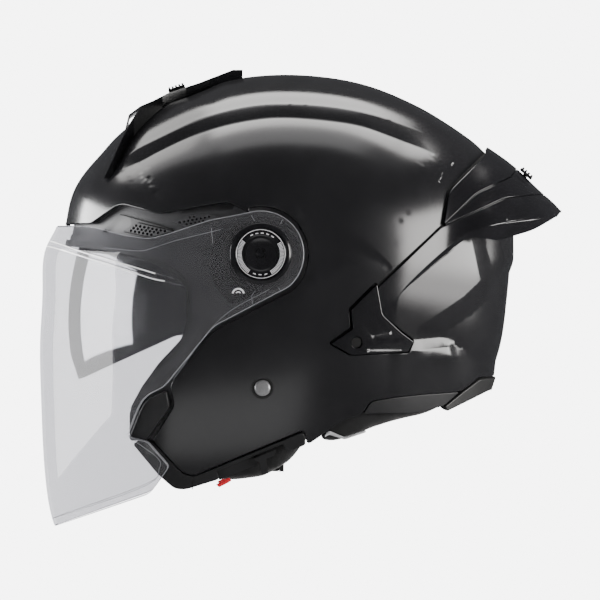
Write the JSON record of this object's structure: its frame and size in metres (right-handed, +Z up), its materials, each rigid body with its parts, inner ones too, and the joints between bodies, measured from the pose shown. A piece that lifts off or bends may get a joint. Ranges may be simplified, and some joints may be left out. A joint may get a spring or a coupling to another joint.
{
  "type": "open face motorcycle helmet",
  "caption": "Open-face motorcycle helmet with a long flip-up clear visor, a drop-down sun visor, vents, a rear spoiler and a fastened chin strap.",
  "frame": {"origin": "midpoint between the wearer's ear canals, where a head form is measured from", "axes": "+Z up, the wearer faces -Y, the wearer's left is +X"},
  "size_m": [0.2548, 0.3342, 0.2919],
  "materials": {
    "shell_paint": "semi-gloss black paint",
    "trim_plastic": "satin black moulded plastic",
    "gloss_trim": "gloss black moulded plastic",
    "clear_lens": "clear polycarbonate",
    "smoke_lens": "smoked polycarbonate with a bright coating",
    "foam": "black expanded foam",
    "lining": "black brushed knit",
    "piping": "light grey piping",
    "red_tab": "red pull tab",
    "webbing": "black woven strap",
    "seal": "black rubber",
    "steel": "bright steel",
    "black_steel": "blackened steel"
  },
  "bodies": {
    "helmet": {"outer_shell": "shell_paint", "eyeport_frame": "trim_plastic", "eyeport_gasket": "seal", "brow_grilles": "trim_plastic", "frame_screws": "black_steel", "jaw_block_left": "gloss_trim", "jaw_block_right": "gloss_trim", "jaw_rim_left": "trim_plastic", "jaw_rim_right": "trim_plastic", "lever_rail": "trim_plastic", "rear_lower_panel_left": "trim_plastic", "rear_lower_panel_right": "trim_plastic", "nape_trim": "seal", "top_vent_housing": "gloss_trim", "crown_spine": "gloss_trim", "spoiler_flank": "gloss_trim", "spoiler_cover": "gloss_trim", "rear_spoiler": "gloss_trim", "side_bracket_left": "gloss_trim", "side_bracket_right": "gloss_trim", "bracket_screws": "black_steel", "pivot_base_left": "trim_plastic", "pivot_base_right": "trim_plastic", "pivot_screws": "black_steel", "sun_visor_studs": "steel", "liner_crown": "foam", "liner_brow": "foam", "liner_side_left": "foam", "liner_side_right": "foam", "liner_back": "foam", "crown_pad": "lining", "cheek_pad_left": "lining", "cheek_pad_right": "lining", "cheek_pad_studs": "trim_plastic", "neck_roll": "lining", "neck_piping": "piping", "cheek_release_tabs": "red_tab", "strap_left": "webbing", "strap_right": "webbing", "buckle_body": "trim_plastic", "ratchet_tongue": "trim_plastic", "strap_rivets": "steel", "rivet_washers": "seal"},
    "visor": {"visor_shield": "clear_lens", "visor_bezel_left": "gloss_trim", "visor_bezel_right": "gloss_trim"},
    "pivot_cap_left": {"pivot_cap_left": "trim_plastic"},
    "pivot_cap_right": {"pivot_cap_right": "trim_plastic"},
    "sun_visor": {"sun_visor": "smoke_lens"},
    "sun_visor_lever": {"sun_visor_lever": "trim_plastic"},
    "top_vent_slider": {"top_vent_slider": "trim_plastic"},
    "rear_vent_slider": {"rear_vent_slider": "trim_plastic"},
    "buckle_lever": {"buckle_lever": "trim_plastic"}
  },
  "joints": [
    {"name": "visor_hinge", "type": "hinge", "parent": "helmet", "child": "visor", "pos_m": [0, -0.012, 0.058], "axis": [-1, 0, 0], "range_deg": [0, 62]},
    {"name": "pivot_cap_left_turn", "type": "hinge", "parent": "helmet", "child": "pivot_cap_left", "pos_m": [0.123, -0.012, 0.058], "axis": [1, 0, 0], "range_deg": [0, 45]},
    {"name": "pivot_cap_right_turn", "type": "hinge", "parent": "helmet", "child": "pivot_cap_right", "pos_m": [-0.123, -0.012, 0.058], "axis": [-1, 0, 0], "range_deg": [0, 45]},
    {"name": "sun_visor_hinge", "type": "hinge", "parent": "helmet", "child": "sun_visor", "pos_m": [0, 0.0245, 0.0165], "axis": [-1, 0, 0], "range_deg": [0, 30]},
    {"name": "sun_visor_lever_slide", "type": "slide", "parent": "helmet", "child": "sun_visor_lever", "axis": [0, -0.9254, -0.379], "range_m": [0, 0.0181]},
    {"name": "top_vent_slide", "type": "slide", "parent": "helmet", "child": "top_vent_slider", "axis": [0, 0.9487, 0.3162], "range_m": [0, 0.008]},
    {"name": "rear_vent_slide", "type": "slide", "parent": "helmet", "child": "rear_vent_slider", "axis": [0, 0.732, -0.6813], "range_m": [0, 0.0055]},
    {"name": "buckle_lever_hinge", "type": "hinge", "parent": "helmet", "child": "buckle_lever", "pos_m": [0.041, -0.011, -0.0786], "axis": [0, -1, 0], "range_deg": [0, 55], "stiffness_Nm_per_rad": 0.05, "springref_deg": -22.92}
  ],
  "couplings": [
    {"joint": "sun_visor_lever_slide", "follows": "sun_visor_hinge", "m_per_rad": 0.034377}
  ]
}
